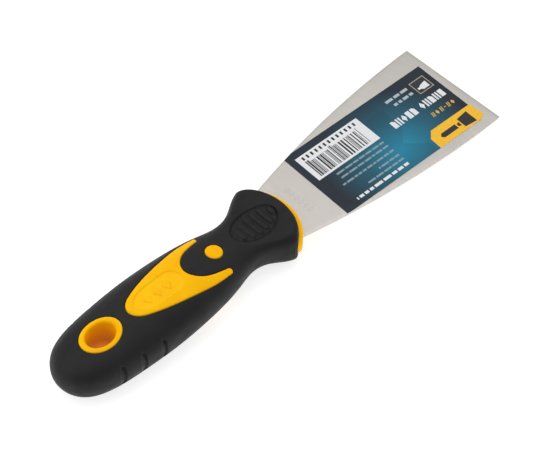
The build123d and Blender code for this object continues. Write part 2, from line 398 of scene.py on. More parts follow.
def relief(p):
    """Height of the moulded relief at points on the skin, along the normal."""
    x, y, z = p[..., 0], p[..., 1], p[..., 2]
    across, along = (x - PAD_X) / PAD_HALF[0], y / PAD_HALF[1]
    reach = np.sqrt(across**2 + along**2) + 1e-9
    slope = np.sqrt((across / PAD_HALF[0]) ** 2 + (along / PAD_HALF[1]) ** 2) / reach
    from_line = (reach - 1) / np.maximum(slope, NEARLY_ZERO)
    on_top = z > PAD_LOWEST_Z
    height = on_top * -PAD_GROOVE_DEPTH * np.exp(-((from_line / PAD_GROOVE_WIDTH) ** 2))
    for ridge_x in RIDGE_XS:
        inside = 1 - ((ridge_x - PAD_X) / PAD_HALF[0]) ** 2
        half_length = PAD_HALF[1] * math.sqrt(inside) - RIDGE_MARGIN - RIDGE_HALF_WIDTH
        past_end = np.maximum(np.abs(y) - half_length, 0)
        away = np.hypot(x - ridge_x, past_end)
        bar = soft_step((RIDGE_HALF_WIDTH + RIDGE_EDGE_OUTSIDE - away) / RIDGE_EDGE)
        height = height + on_top * RIDGE_HEIGHT * bar
    for groove_x in GROOVE_XS:
        depth = np.interp(x - groove_x, GROOVE_PROFILE_X, GROOVE_PROFILE_DEPTH)
        half_length = GROOVE_REACH - GROOVE_END_ROUND * ((x - groove_x) / GROOVE_PROFILE_X[-1]) ** 2
        fade = soft_step((half_length - np.abs(z)) / GROOVE_FADE)
        height = height - depth * fade * (y > GROOVE_NEAREST_Y)
    return height


# ---------------------------------------------------------------- triangles between outlines

def inside_outline(points, outline):
    """Whether each point is inside a closed outline."""
    x, y = points[:, 0], points[:, 1]
    result = np.zeros(len(points), bool)
    for (x0, y0), (x1, y1) in zip(outline, np.roll(outline, -1, axis=0)):
        if y0 != y1:
            crosses = (y0 > y) != (y1 > y)
            result ^= crosses & (x < x0 + (y - y0) * (x1 - x0) / (y1 - y0))
    return result


def nearest(points, others):
    """Distance from each point to the nearest of the others."""
    if not len(points):
        return np.zeros(0)
    best = np.full(len(points), 1e9)
    for start in range(0, len(others), 400):
        block = others[start : start + 400]
        apart = np.hypot(points[:, None, 0] - block[None, :, 0], points[:, None, 1] - block[None, :, 1])
        best = np.minimum(best, apart.min(axis=1))
    return best


def triangles(points, edges):
    """Constrained triangles over all the points: (places, faces, the first given point at each place)."""
    made = delaunay_2d_cdt([Vector(p) for p in points], edges, [], 0, 1e-7, True)
    places = np.array([tuple(p) for p in made[0]])
    faces = np.array([tuple(f) for f in made[2] if len(f) == 3])
    source = np.array([ids[0] if ids else -1 for ids in made[3]])
    return places, faces, source


def facing(points, faces, normal):
    """The triangles, turned so that each faces along the normal of its first point."""
    a, b, c = (points[faces[:, i]] for i in range(3))
    turn = (np.cross(b - a, c - a) * normal[faces[:, 0]]).sum(axis=1) < 0
    faces[turn] = faces[turn][:, ::-1]
    return faces


def grid(u_values, v_values, shift=True):
    """Points in rows. With shift, every other row is moved on by half a step."""
    rows = []
    for j, v in enumerate(v_values):
        u = np.array(u_values, float)
        if shift and j % 2 and j < len(v_values) - 1:
            u[1:-1] = (u[1:-1] + u[2:]) / 2
        rows.append(np.c_[u, np.full_like(u, v)])
    return np.vstack(rows)


SNAP = 1e-5


class Chart:
    """Gathers grid points and outlines on the chart, each with its own depth below the skin."""

    def __init__(self):
        self.points = []
        self.depths = []
        self.edges = []
        self.lines = []

    def line(self, places, depth):
        start = sum(len(p) for p in self.points)
        self.points.append(places)
        self.depths.append(np.full(len(places), depth))
        self.edges += [(start + i, start + i + 1) for i in range(len(places) - 1)]
        self.lines.append(places)

    def outline(self, half, steps):
        """Adds a half outline once for each (distance to its left, depth), and returns the lines."""
        for aside, depth in steps:
            places = plan_to_chart(moved_on_skin(half, aside))
            places[[0, -1], 1] = QUARTER
            self.line(places, depth)
        return self.lines[-len(steps) :]

    def fill(self, places, clearance, depths=0.0):
        """Adds the places that are clear of the lines."""
        dense = np.vstack([p for line in self.lines for p in (line, (line[1:] + line[:-1]) / 2)])
        clear = nearest(places, dense) > clearance
        self.points.append(places[clear])
        self.depths.append(np.broadcast_to(depths, len(places))[clear])

    def mesh(self, kept):
        """u, v, triangles and depths, of those triangles whose middles kept says to keep."""
        places, faces, source = triangles(np.vstack(self.points), self.edges)
        depths = np.where(source >= 0, np.concatenate(self.depths)[source], 0.0)
        faces = faces[kept(places[faces].mean(axis=1))]
        used, faces = np.unique(faces, return_inverse=True)
        u, v = places[used].T
        v = np.where(v > QUARTER - SNAP, QUARTER, np.where(v < SNAP, 0, v))
        return u, v, faces.reshape(-1, 3), depths[used]


# ---------------------------------------------------------------- mesh building

def build_object(name, points, faces, sharp, attribute=None):
    """A mesh object from points in the modelling frame. Faces hold point numbers.

    The attribute is 1 on rolled edges and 0 elsewhere, and edges over sharp degrees stay sharp.
    """
    mesh = bpy.data.meshes.new(name)
    mesh.from_pydata(to_row(points).tolist(), [], [list(map(int, f)) for f in faces])
    if attribute is not None:
        layer = mesh.attributes.new("rim", "FLOAT", "POINT")
        layer.data.foreach_set("value", np.asarray(attribute, np.float32))
    mesh.validate()
    mesh.update()
    mesh.shade_smooth()
    mesh.set_sharp_from_angle(angle=math.radians(sharp))
    made = bpy.data.objects.new(name, mesh)
    bpy.context.scene.collection.objects.link(made)
    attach(made, "root")
    return made


def joined(parts):
    """Points, faces and rim values of several parts in one, with points at the same place joined."""
    points, faces, rims, base = [], [], [], 0
    for part_points, part_faces, part_rims in parts:
        points.append(part_points)
        rims.append(part_rims)
        faces += [[base + i for i in f] for f in part_faces]
        base += len(part_points)
    points, rims = np.vstack(points), np.concatenate(rims)
    keys = np.round(points, 4) + 0.0
    _, first, where = np.unique(keys, axis=0, return_index=True, return_inverse=True)
    where = where.reshape(-1)
    clean = []
    for f in faces:
        ring = [int(where[i]) for i in f]
        ring = [p for i, p in enumerate(ring) if p != ring[i - 1]]
        if len(set(ring)) >= 3:
            clean.append(ring)
    return points[first], clean, rims[first]


def flipped(part, y, z):
    """A part mirrored in Y and Z."""
    points, faces, rims = part
    turned = points * [1, y, z]
    if y * z < 0:
        faces = [list(reversed(f)) for f in faces]
    return turned, faces, rims


def boundary_edges(faces):
    """Directed edges that only one face has."""
    seen = {}
    for f in faces:
        for i, a in enumerate(f):
            b = f[(i + 1) % len(f)]
            if (b, a) in seen:
                del seen[(b, a)]
            else:
                seen[(a, b)] = True
    return list(seen)


def skirt(points, faces, edge_filter, drop):
    """Walls that go from open edges to points moved by drop, and the new points."""
    edges = [e for e in boundary_edges(faces) if edge_filter(points[list(e)])]
    used = sorted({i for e in edges for i in e})
    number = {i: len(points) + n for n, i in enumerate(used)}
    new_points = points[used] + drop(points[used])
    walls = [[b, a, number[a], number[b]] for a, b in edges]
    return new_points, walls


def tube(ring_count, size, closed=False, inside_out=False):
    """Faces between rings of points, each ring to the next, and the last to the first if closed."""
    faces = []
    for r in range(ring_count if closed else ring_count - 1):
        s = (r + 1) % ring_count
        for i in range(size):
            j = (i + 1) % size
            face = [r * size + i, r * size + j, s * size + j, s * size + i]
            faces.append([face[0], *face[:0:-1]] if inside_out else face)
    return faces


def on_both_faces(part, what):
    """Two pieces, one on the front of the knife and its mirror image on the back."""
    made = []
    for face, side in (("front", 1), ("back", -1)):
        points, faces, rims = flipped(part, 1, side)
        piece = build_object(f"{what}_{face}", points, faces, sharp=60, attribute=rims)
        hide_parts(f"{face}_{what}")
        made.append(piece)
    return made


# ---------------------------------------------------------------- grip

WINDOW_ROLL = 0.4
WINDOW_WALL = 1.3
INLAY_GAP = 0.14
ROLL_ANGLES = np.radians([90, 60, 30, 0])

BUTT_ROW_START = 0.6
BUTT_ROW_END = 6.0
BUTT_ROWS = 12
ROW_STEP = 0.8
ROWS_UP = 31
COARSE_CLEARANCE = 0.3
FINE_CLEARANCE = 0.1
PAD_ZONE_MARGIN = 1.0
PAD_ZONE_LOWEST_V = 9.5
PAD_ZONE_STEPS = (0.22, 0.34)
GROOVE_ZONE_U = (-1.95, 1.5)
GROOVE_ZONE_HIGHEST_V = 11.5
GROOVE_ZONE_STEPS = (0.15, 0.42)
ZONE_CLEAR_U = 0.25
ZONE_CLEAR_V = 0.3

BUTT_OPEN_X = -211.5
FRONT_WALL_X = -108.0
FRONT_WALL = 1.6


def roll_steps(radius):
    """(distance in from the edge, depth below the surface) over a rolled edge."""
    return [(radius * (1 - math.sin(a)), radius * (1 - math.cos(a))) for a in ROLL_ANGLES]


def lip_outline(w):
    """The quarter of the grip's mouth round the lip."""
    return quarter_curve(LIP_HALF_WIDTH + LIP_GAP, LIP_HALF_THICKNESS + LIP_GAP, LIP_FULLNESS, w)


def fine_zones(u_limit):
    """Where the skin carries relief: (u0, u1, v0, v1, step along u, step along v)."""
    pad_reach = PAD_HALF[0] + PAD_ZONE_MARGIN
    pad_ends = plan_to_chart([(PAD_X - pad_reach, 0), (PAD_X + pad_reach, 0)])[:, 0]
    pad_end = min(pad_ends[1], u_limit)
    zones = [(pad_ends[0], pad_end, PAD_ZONE_LOWEST_V, QUARTER, *PAD_ZONE_STEPS)]
    for groove_x in GROOVE_XS:
        u0, u1 = np.interp(groove_x, fine_x, fine_run) + np.array(GROOVE_ZONE_U)
        zones.append((u0, u1, 0.0, GROOVE_ZONE_HIGHEST_V, *GROOVE_ZONE_STEPS))
    return zones


def skin_grid():
    """The chart's grid, in coarse places and fine ones."""
    front_rows = FRONT - FRONT_ROLL * (1 - np.sin(np.radians(np.arange(0, 91, 15))))
    body_rows = np.arange(BUTT_ROW_END + ROW_STEP, front_rows[0] - 0.5, ROW_STEP)
    u_values = np.r_[np.geomspace(BUTT_ROW_START, BUTT_ROW_END, BUTT_ROWS), body_rows, front_rows]
    coarse = grid(u_values, np.linspace(0, QUARTER, ROWS_UP), shift=False)
    fine = []
    for u0, u1, v0, v1, du, dv in fine_zones(front_rows[0] - 0.2):
        from_middle = np.abs(coarse - [(u0 + u1) / 2, (v0 + v1) / 2])
        half_size = [(u1 - u0) / 2 + ZONE_CLEAR_U, (v1 - v0) / 2 + ZONE_CLEAR_V]
        coarse = coarse[(from_middle >= half_size).any(axis=1)]
        fine.append(grid(np.arange(u0, u1 + du / 2, du), np.linspace(v0, v1, int((v1 - v0) / dv) + 1)))
    return coarse, np.vstack(fine)


def grip_quarter():
    """A quarter of the black skin with its windows left open, and the chart's u and v of its points."""
    chart = Chart()
    windows = []
    for half in (
        inlay_half(),
        oval_half(CAP_X, CAP_RADIUS, CAP_RADIUS, 28),
        oval_half(HANG_X, *RIM_HALF, 60),
    ):
        steps = [(INLAY_GAP + away, depth) for away, depth in roll_steps(WINDOW_ROLL)]
        windows.append(chart.outline(half, steps)[0])
    coarse, fine = skin_grid()
    chart.fill(coarse, COARSE_CLEARANCE)
    chart.fill(fine, FINE_CLEARANCE)

    def outside_windows(middles):
        return ~np.any([inside_outline(middles, window) for window in windows], axis=0)

    u, v, faces, depths = chart.mesh(outside_windows)
    base = skin(u, v)
    normal = skin_normal(u, v)
    # The skin rolls inwards at the front, down to the lip's own outline.
    from_front = np.clip((FRONT - u) / FRONT_ROLL, 0, 1)
    sink = 1 - np.sqrt(np.clip(1 - (1 - from_front) ** 2, 0, 1))
    lip_y, lip_z = lip_outline(v / QUARTER)
    inward = np.stack([np.zeros_like(u), lip_y - base[:, 1], lip_z - base[:, 2]], axis=-1)
    points = base + normal * (relief(base) - depths)[:, None] + inward * sink[:, None]
    points[:, 1] = np.where(v >= QUARTER, 0, points[:, 1])
    points[:, 2] = np.where(v <= 0, 0, points[:, 2])
    rims = np.clip(depths / WINDOW_ROLL, 0, 1)
    return points, facing(points, faces, normal).tolist(), rims, u, v


def make_grip():
    """The black skin, with walls that go down inside its windows and in behind the lip."""
    points, faces, rims, u, v = grip_quarter()

    def is_window(pair):
        # Open edges on the crown, on the side and at the butt belong to the mirrored quarters.
        on_crown = np.all(np.abs(pair[:, 1]) < NEARLY_ZERO)
        on_side = np.all(np.abs(pair[:, 2]) < NEARLY_ZERO)
        at_butt = np.all(pair[:, 0] < BUTT_OPEN_X)
        return not (on_crown or on_side or at_butt)

    def drop(places):
        at_front = places[:, 0] > FRONT_WALL_X
        back = np.where(at_front, -FRONT_WALL, 0)
        down = np.where(at_front, 0, -WINDOW_WALL)
        return np.c_[back, np.zeros(len(places)), down]

    wall_points, walls = skirt(points, faces, is_window, drop)
    pole = np.array([[HANDLE_SECTIONS[0][0], 0, 0]])
    start_ring = [i for i in range(len(points)) if u[i] < BUTT_ROW_START + 0.01]
    start_ring.sort(key=lambda i: v[i])
    pole_number = len(points) + len(wall_points)
    fan = [[a, pole_number, b] for a, b in zip(start_ring[:-1], start_ring[1:])]
    all_points = np.vstack([points, wall_points, pole])
    all_rims = np.concatenate([rims, np.ones(len(wall_points)), [0]])
    part = (all_points, faces + walls + fan, all_rims)
    points, faces, rims = joined([flipped(part, y, z) for y in (1, -1) for z in (1, -1)])
    piece = build_object("grip_skin", points, faces, sharp=55, attribute=rims)
    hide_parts("soft_grip")
    return piece


# ---------------------------------------------------------------- yellow pieces on the faces

INLAY_PROUD = 0.12
INLAY_RIM = 0.75
INLAY_RIM_DROP = 0.75
INLAY_DEEP = 1.5
INLAY_GRID = 0.6
INLAY_CLEARANCE = 0.28
BADGE_DEPTH = 0.42
BADGE_WALL = 0.22
MARK_HALF_LENGTH = 1.7
MARK_HALF_WIDTH = 2.7
MARK_HEIGHT = 0.24
# (growth of the lozenge, height above the badge's floor) up its side.
MARK_STEPS = ((0.14, 0.0), (0.0, MARK_HEIGHT - 0.03), (-0.1, MARK_HEIGHT))


def lozenge_half(x, grow):
    """Half of a badge mark's outline, from its rear point to its front one."""
    rear, front = ([x + end * (MARK_HALF_LENGTH + grow), 0] for end in (-1, 1))
    side = [x, MARK_HALF_WIDTH + grow * 1.5]
    return np.vstack([np.linspace(rear, side, 9)[:-1], np.linspace(side, front, 9)])


def inlay_quarter():
    """A quarter of both inlays: the front one's half, with its rolled rim and the sunk badge."""
    chart = Chart()
    rim = [(-away, depth * INLAY_RIM_DROP - INLAY_PROUD) for away, depth in roll_steps(INLAY_RIM)]
    border = chart.outline(inlay_half(), rim)[0]
    badge_wall = (
        (0.12, 0.0),
        (0.0, 0.03),
        (0.05 - BADGE_WALL, BADGE_DEPTH - 0.04),
        (-0.08 - BADGE_WALL, BADGE_DEPTH),
    )
    badge = [(aside, depth - INLAY_PROUD) for aside, depth in badge_wall]
    badge_floor = chart.outline(badge_half(), badge)[-1]
    for mark_x in BADGE_MARK_XS:
        for grow, height in MARK_STEPS:
            places = plan_to_chart(lozenge_half(mark_x, grow))
            places[[0, -1], 1] = QUARTER
            chart.line(places, BADGE_DEPTH - height - INLAY_PROUD)
    low, high = border.min(axis=0), border.max(axis=0)
    v_values = np.linspace(low[1], QUARTER, int((QUARTER - low[1]) / INLAY_GRID))
    spots = grid(np.arange(low[0], high[0], INLAY_GRID), v_values)
    spots = spots[inside_outline(spots, border)]
    sunk = inside_outline(spots, badge_floor)
    chart.fill(spots, INLAY_CLEARANCE, np.where(sunk, BADGE_DEPTH, 0.0) - INLAY_PROUD)
    u, v, faces, depths = chart.mesh(lambda middles: inside_outline(middles, border))
    normal = skin_normal(u, v)
    points = skin(u, v) - normal * depths[:, None]
    points[:, 1] = np.where(v >= QUARTER, 0, points[:, 1])
    # The rim value becomes a painted highlight in the yellow material.
    rims = np.clip((depths + INLAY_PROUD) / (INLAY_RIM_DROP * INLAY_RIM), 0, 1)
    return points, facing(points, faces, normal).tolist(), rims


def closed_below(part, depth):
    """The part with walls round it and a copy of itself underneath."""
    points, faces, rims = part
    count = len(points)
    under = points - np.array([0, 0, depth])
    bottom = [[i + count for i in reversed(f)] for f in faces]
    walls = [[b, a, a + count, b + count] for a, b in boundary_edges(faces)]
    return np.vstack([points, under]), faces + bottom + walls, np.concatenate([rims, rims])


def make_inlays():
    """The two forked inlays."""
    quarter = inlay_quarter()
    half = joined([quarter, flipped(quarter, -1, 1)])
    return on_both_faces(closed_below(half, INLAY_DEEP), "inlay")


def ring_on_top(x, half_length, half_width, height, around):
    """A ring of points that is oval in plan and stays at one height above the handle's top."""
    angle = np.arange(around) / around * math.tau
    plan = np.c_[x + half_length * np.cos(angle), half_width * np.sin(angle)]
    return np.c_[plan, top_z(plan) + height]


CAP_PROUD = 0.2
CAP_RIM = 0.6
CAP_DEEP = 1.6
CAP_CROWN = 0.06
CAP_AROUND = 72


def make_caps():
    """Round caps with a rolled rim and a slightly domed face."""
    rings = [(CAP_RADIUS, -CAP_DEEP), (CAP_RADIUS, -CAP_RIM + CAP_PROUD)]
    rings += [(CAP_RADIUS - away, CAP_PROUD - depth) for away, depth in roll_steps(CAP_RIM)]
    rings += [(CAP_RADIUS * f, CAP_PROUD + CAP_CROWN * (1 - f * f)) for f in (0.6, 0.4, 0.2)]
    points = [ring_on_top(CAP_X, radius, radius, height, CAP_AROUND) for radius, height in rings]
    # The rim value becomes a painted highlight in the yellow material.
    rims = [np.full(CAP_AROUND, np.clip((CAP_PROUD - height) / CAP_RIM, 0, 1)) for _, height in rings]
    middle_z = top_z(np.array([[CAP_X, 0.0]]))[0]
    points.append([[CAP_X, 0, middle_z + CAP_PROUD + CAP_CROWN], [CAP_X, 0, middle_z - CAP_DEEP]])
    rims.append(np.zeros(2))
    faces = tube(len(rings), CAP_AROUND)
    top = len(rings) * CAP_AROUND
    last = top - CAP_AROUND
    faces += [[last + i, last + (i + 1) % CAP_AROUND, top] for i in range(CAP_AROUND)]
    faces += [[(i + 1) % CAP_AROUND, i, top + 1] for i in range(CAP_AROUND)]
    part = (np.vstack(points), faces, np.concatenate(rims))
    return on_both_faces(part, "rivet_cap")


EYELET_PROUD = 0.12
EYELET_RIM = 0.5
EYELET_MOUTH = 1.3
EYELET_DEEP = 2.4
EYELET_AROUND = 120
HOLE_TAPER = 0.45


def make_eyelet():
    """The hang hole's liner: a rolled outer edge, a flat face, a rounded mouth and a tapered bore."""
    width = RIM_HALF[0] - HOLE_HALF[0]
    # The rim column becomes a painted highlight in the yellow material.
    # (distance in from the outer edge, height above the handle, rim)
    profile = [(0.0, -EYELET_DEEP, 0.0), (0.0, EYELET_PROUD - EYELET_RIM, 1.0)]
    profile += [(away, EYELET_PROUD - depth, 1.0 - away) for away, depth in roll_steps(EYELET_RIM)]
    for turn in np.radians(np.arange(0, 91, 15)):
        away = width - EYELET_MOUTH * (1 - math.sin(turn))
        profile.append((away, EYELET_PROUD - EYELET_MOUTH * (1 - math.cos(turn)), 0.0))
    upper, rims = [], []
    for away, height, rim in profile:
        half = np.array(RIM_HALF) + (np.array(HOLE_HALF) - RIM_HALF) * away / width
        upper.append(ring_on_top(HANG_X, *half, height, EYELET_AROUND))
        rims.append(np.full(EYELET_AROUND, rim))
    mouth_z = upper[-1][:, 2]
    for share in (0.12, 0.35, 0.7, 1.0):
        ring = ring_on_top(HANG_X, *(np.array(HOLE_HALF) - HOLE_TAPER * share), 0.0, EYELET_AROUND)
        ring[:, 2] = mouth_z * (1 - share)
        upper.append(ring)
        rims.append(np.zeros(EYELET_AROUND))
    rings = upper + [ring * [1, 1, -1] for ring in upper[-2::-1]]
    faces = tube(len(rings), EYELET_AROUND, closed=True)
    all_rims = np.concatenate(rims + rims[-2::-1])
    piece = build_object("hang_eyelet", np.vstack(rings), faces, sharp=60, attribute=all_rims)
    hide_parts("hang_hole_liner")
    return piece


# ---------------------------------------------------------------- collar lip

SLOT_HALF = (14.9, 0.62)
SLOT_FULLNESS = 0.97
SLOT_DEEP = 1.0
SLOT_EDGE_SINK = 0.25
LIP_HIDDEN = 1.5
LIP_ROLL_LEAD = 0.6
LIP_AROUND = 240


def full_ring(a, b, k):
    """A whole section in (Y, Z), from four quarters."""
    first = np.column_stack(quarter_curve(a, b, k, np.linspace(0, 1, LIP_AROUND // 4 + 1)))
    second = first[-2::-1] * [-1, 1]
    third = first[1:] * [-1, -1]
    fourth = first[-2:0:-1] * [1, -1]
    return np.vstack([first, second, third, fourth])


def make_lip():
    """The yellow lip: a bowed face with a rolled edge, and the slot that the blade comes out of."""
    outer = full_ring(LIP_HALF_WIDTH, LIP_HALF_THICKNESS, LIP_FULLNESS)
    slot = full_ring(*SLOT_HALF, SLOT_FULLNESS)
    hidden_x = GRIP_FRONT_X - LIP_HIDDEN
    # (X on the centre line, section, rim)
    stations = [(hidden_x, outer, 0.0), (LIP_FRONT_X - LIP_ROUND - LIP_ROLL_LEAD, outer, 0.0)]
    # The rim value peaks half way round the rolled edge, where the yellow material paints a highlight.
    for turn in np.radians([0, 20, 40, 60, 80, 90]):
        inset = LIP_ROUND * (1 - math.cos(turn))
        ring = full_ring(LIP_HALF_WIDTH - inset, LIP_HALF_THICKNESS - inset, LIP_FULLNESS)
        stations.append((LIP_FRONT_X - LIP_ROUND * (1 - math.sin(turn)), ring, math.sin(turn * 2)))
    face = stations[-1][1]
    for share in (0.25, 0.5, 0.75, 0.93, 1.0):
        sink = SLOT_EDGE_SINK * max(0.0, share - 0.9) / 0.1
        stations.append((LIP_FRONT_X - sink, face * (1 - share) + slot * share, 0.0))
    stations += [(LIP_FRONT_X - SLOT_DEEP, slot, 0.0), (hidden_x, slot, 0.0)]
    points = np.vstack([np.c_[bow_x(front, ring[:, 0]), ring] for front, ring, _ in stations])
    rims = np.repeat([rim for _, _, rim in stations], LIP_AROUND)
    faces = tube(len(stations), LIP_AROUND, closed=True)
    piece = build_object("collar_lip", points, faces, sharp=50, attribute=rims)
    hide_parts("front_collar")
    return piece


# ---------------------------------------------------------------- blade

EDGE_HALF = 25.4
BLADE_SIDE_RADIUS = 440.0
BLADE_HALF_THICKNESS = 0.45
CORNER_RADIUS = 0.5
BEVEL_LENGTH = 1.6
BEVEL_DEPTH = 0.25
EDGE_BREAK = 0.12
FRONT_BREAK = 0.05
FRONT_BREAK_LENGTH = 0.01
BLADE_REAR_X = -101.5


def blade_half_width(x):
    """Half the blade's width at X: its sides bow in towards the handle and its corners are rounded."""
    half = EDGE_HALF - BLADE_SIDE_RADIUS + np.sqrt(BLADE_SIDE_RADIUS**2 - x**2)
    into = np.clip(x + CORNER_RADIUS, 0, CORNER_RADIUS)
    return half - (CORNER_RADIUS - np.sqrt(CORNER_RADIUS**2 - into**2))


def blade_ring(x):
    """The blade's cross-section at X: a flat face, a broken side, and the same turned over."""
    half = blade_half_width(x)
    top = BLADE_HALF_THICKNESS - BEVEL_DEPTH * max(0.0, x + BEVEL_LENGTH) / BEVEL_LENGTH
    if x > -FRONT_BREAK_LENGTH:
        top -= FRONT_BREAK
    face = [(y, top) for y in (half - EDGE_BREAK) * np.linspace(-1, 1, 25)]
    soft = EDGE_BREAK * 0.3
    corner = [(half - soft, top - soft), (half, top - EDGE_BREAK)]
    upper = face + corner + [(y, -z) for y, z in corner[::-1]]
    lower = [(-y, -z) for y, z in upper]
    return [(x, y, z) for y, z in upper + lower]


def make_blade():
    """The blade outside the handle: ground bevels at the edge and broken corners all round."""
    corner_xs = -CORNER_RADIUS * (1 - np.sin(np.radians([20, 40, 55, 70, 80])))
    stations = np.r_[np.linspace(BLADE_REAR_X, -2.4, 60), -1.9, -BEVEL_LENGTH, corner_xs, -0.05, 0.0]
    rings = [blade_ring(x) for x in stations]
    size = len(rings[0])
    last = (len(rings) - 1) * size
    faces = tube(len(rings), size, inside_out=True)
    faces += [list(range(last + size - 1, last - 1, -1)), list(range(size))]
    piece = build_object("blade_plate", np.vstack(rings), faces, sharp=25)
    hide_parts("blade")
    return piece


# ---------------------------------------------------------------- label

# Printed shapes are in the label's own axes, P towards the blade's edge and Q across.

LABEL_HALF = (37.65, 18.6)
LABEL_CENTRE = (-41.8, -1.1)
LABEL_TURN = math.radians(-2.4)
LABEL_THICKNESS = 0.12
LABEL_LIFT = 0.005
LABEL_MARGIN = 0.25
LABEL_GRID = 4.0
LABEL_GRID_SHIFT = (0.013, 0.017)
OUTLINE_STEP = 1.5
PLATE_OUTLINE = (
    (38.2, -9.7),
    (38.95, -17.2),
    (36.0, -18.6),
    (13.1, -18.6),
    (13.4, -12.8),
    (16.5, -9.6),
)
# A plain scraper sign on the plate: a blade, a neck and a handle.
PLATE_SIGN = (
    ((28.6, -12.1), (34.4, -11.4), (34.4, -17.9), (28.6, -17.2)),
    ((26.6, -14.0), (28.0, -13.5), (28.0, -15.8), (26.6, -15.3)),
    ((17.4, -14.6), (18.4, -13.4), (26.0, -13.4), (26.0, -15.9), (18.4, -15.9), (17.4, -14.9)),
)
# A plain scraper in the small frame.
FRAME_SIGN = (
    (28.6, 10.1),
    (29.7, 10.1),
    (30.6, 10.7),
    (33.8, 11.4),
    (33.8, 8.2),
    (30.6, 8.2),
    (29.7, 9.0),
    (28.6, 9.0),
)
FRAME_BOX = (27.45, 7.05, 35.15, 14.1)
FRAME_LINE = 0.32

BAR_WIDTHS = (0.28, 0.28, 0.56, 0.84)
LONG_BARS = (0, 1, 14, 15)
LONG_BAR_EXTRA = 1.0
BAR_TAIL = 2.0

TITLE_MARKS = (
    "block", "pair", "wedge", "pair", "lozenge",
    "wedge", "block", "lozenge", "pair", "wedge",
)
TITLE_WIDTH = 2.15
TITLE_PITCH = 2.72
TITLE_WORD_GAP = 1.9
TITLE_BAR = 0.8
TITLE_CUT = 0.9

MODEL_HALF_HEIGHT = 1.2
MODEL_WIDTHS = (1.5, 1.6, 0.9, 1.5, 1.6, 1.5)
MODEL_DASH = 2
MODEL_GAP = 0.75
STROKE = 0.4


def box_shape(p0, q0, p1, q1):
    return [(p0, q0), (p1, q0), (p1, q1), (p0, q1)]


def lozenge_shape(p0, q0, p1, q1):
    p, q = (p0 + p1) / 2, (q0 + q1) / 2
    return [(p0, q), (p, q0), (p1, q), (p, q1)]


def frame_shapes(p0, q0, p1, q1, line):
    """A thin frame as four bars."""
    return [
        box_shape(p0, q0, p1, q0 + line),
        box_shape(p0, q1 - line, p1, q1),
        box_shape(p0, q0 + line, p0 + line, q1 - line),
        box_shape(p1 - line, q0 + line, p1, q1 - line),
    ]


def word_blocks(lines, height, draw):
    """Lines of plain blocks of mixed length, like words, for each (start, end, Q)."""
    shapes = []
    for p, p_end, q in lines:
        while p > p_end + 0.5:
            length = min(draw.uniform(1.4, 4.2), p - p_end)
            shapes.append(box_shape(p - length, q - height / 2, p, q + height / 2))
            p -= length + height * 0.6
    return shapes


def title_shapes(p_start, q, height):
    """Plain shapes in two groups of five, none of them a letter."""
    shapes = []
    low, high = q - height / 2, q + height / 2
    for i, mark in enumerate(TITLE_MARKS):
        right = p_start - i * TITLE_PITCH - (TITLE_WORD_GAP if i > 4 else 0)
        left = right - TITLE_WIDTH
        if mark == "pair":
            shapes.append(box_shape(left, low, left + TITLE_BAR, high))
            shapes.append(box_shape(right - TITLE_BAR, low, right, high))
        elif mark == "lozenge":
            shapes.append(lozenge_shape(left, low, right, high))
        else:
            box = box_shape(left, low, right, high)
            cut = [(right, high - TITLE_CUT), (right - TITLE_CUT, high)]
            shapes.append(box if mark == "block" else [*box[:2], *cut, box[3]])
    return shapes


def model_shapes(p_start, q):
    """Slim lozenges and slanted pairs of strokes in two groups, in place of a model line."""
    shapes = []
    p = p_start
    low, high = q - MODEL_HALF_HEIGHT, q + MODEL_HALF_HEIGHT
    for i, width in enumerate(MODEL_WIDTHS):
        left = p - width
        if i == MODEL_DASH:
            shapes.append(box_shape(left, q - STROKE / 2, p, q + STROKE / 2))
        elif i % 2:
            for start in (left, left + 2 * STROKE):
                foot, top = start + STROKE, start + 2 * STROKE
                shapes.append([(start, low), (foot, low), (top, high), (start + STROKE, high)])
        else:
            shapes.append(lozenge_shape(left, low, p, high))
        p = left - MODEL_GAP
    return shapes


def bar_shapes(p0, p1, q0, q1, draw):
    """Upright bars of mixed width, some of them longer."""
    shapes = []
    p = p0
    while p < p1 - BAR_WIDTHS[-1]:
        width = draw.choice(BAR_WIDTHS)
        longer = len(shapes) in LONG_BARS or p > p1 - BAR_TAIL
        shapes.append(box_shape(p, q0, p + width, q1 + (LONG_BAR_EXTRA if longer else 0.0)))
        p += width + draw.choice(BAR_WIDTHS)
    return shapes


# Lines of blocks on the label, as (start, end, Q).
SMALL_LINES = ((25.5, 15.2, 9.7), (25.3, 13.4, 12.9))
FAINT_LINES = (
    (-1.7, -27.4, -1.3),
    (-1.7, -27.3, -3.8),
    (-1.7, -29.0, -6.9),
    (-1.7, -12.6, -10.0),
    (-1.7, -21.0, -12.6),
)
BOLD_LINES = ((-2.0, -29.7, -15.6),)


def label_shapes():
    """Everything printed on the label, as (ink, outline), later ones on top of earlier ones."""
    draw = random.Random(7)
    bars = bar_shapes(-32.2, -4.2, 2.0, 10.6, draw)
    under_bars = [box_shape(-32.0 + i * 2.28, 12.3, -31.05 + i * 2.28, 14.1) for i in range(13)]
    small_words = word_blocks(SMALL_LINES, 1.35, draw)
    faint_words = word_blocks(FAINT_LINES, 0.9, draw)
    bold_words = word_blocks(BOLD_LINES, 1.3, draw)
    p0, q0, p1, q1 = FRAME_BOX
    inside_frame = box_shape(p0 + FRAME_LINE, q0 + FRAME_LINE, p1 - FRAME_LINE, q1 - FRAME_LINE)
    layers = (
        ("plate_ink", [PLATE_OUTLINE]),
        ("paper_ink", [box_shape(-34.4, 0.95, -1.2, 15.1)]),
        ("dark_ink", bars + under_bars),
        ("white_ink", title_shapes(35.4, 2.2, 3.9)),
        ("gold_ink", model_shapes(35.0, -4.2)),
        ("grey_ink", small_words),
        ("faint_ink", faint_words),
        ("white_ink", bold_words),
        ("frame_ink", frame_shapes(*FRAME_BOX, FRAME_LINE)),
        ("night_ink", [inside_frame]),
        ("white_ink", [FRAME_SIGN]),
        ("dark_ink", PLATE_SIGN),
    )
    return [(ink, shape) for ink, shapes in layers for shape in shapes]


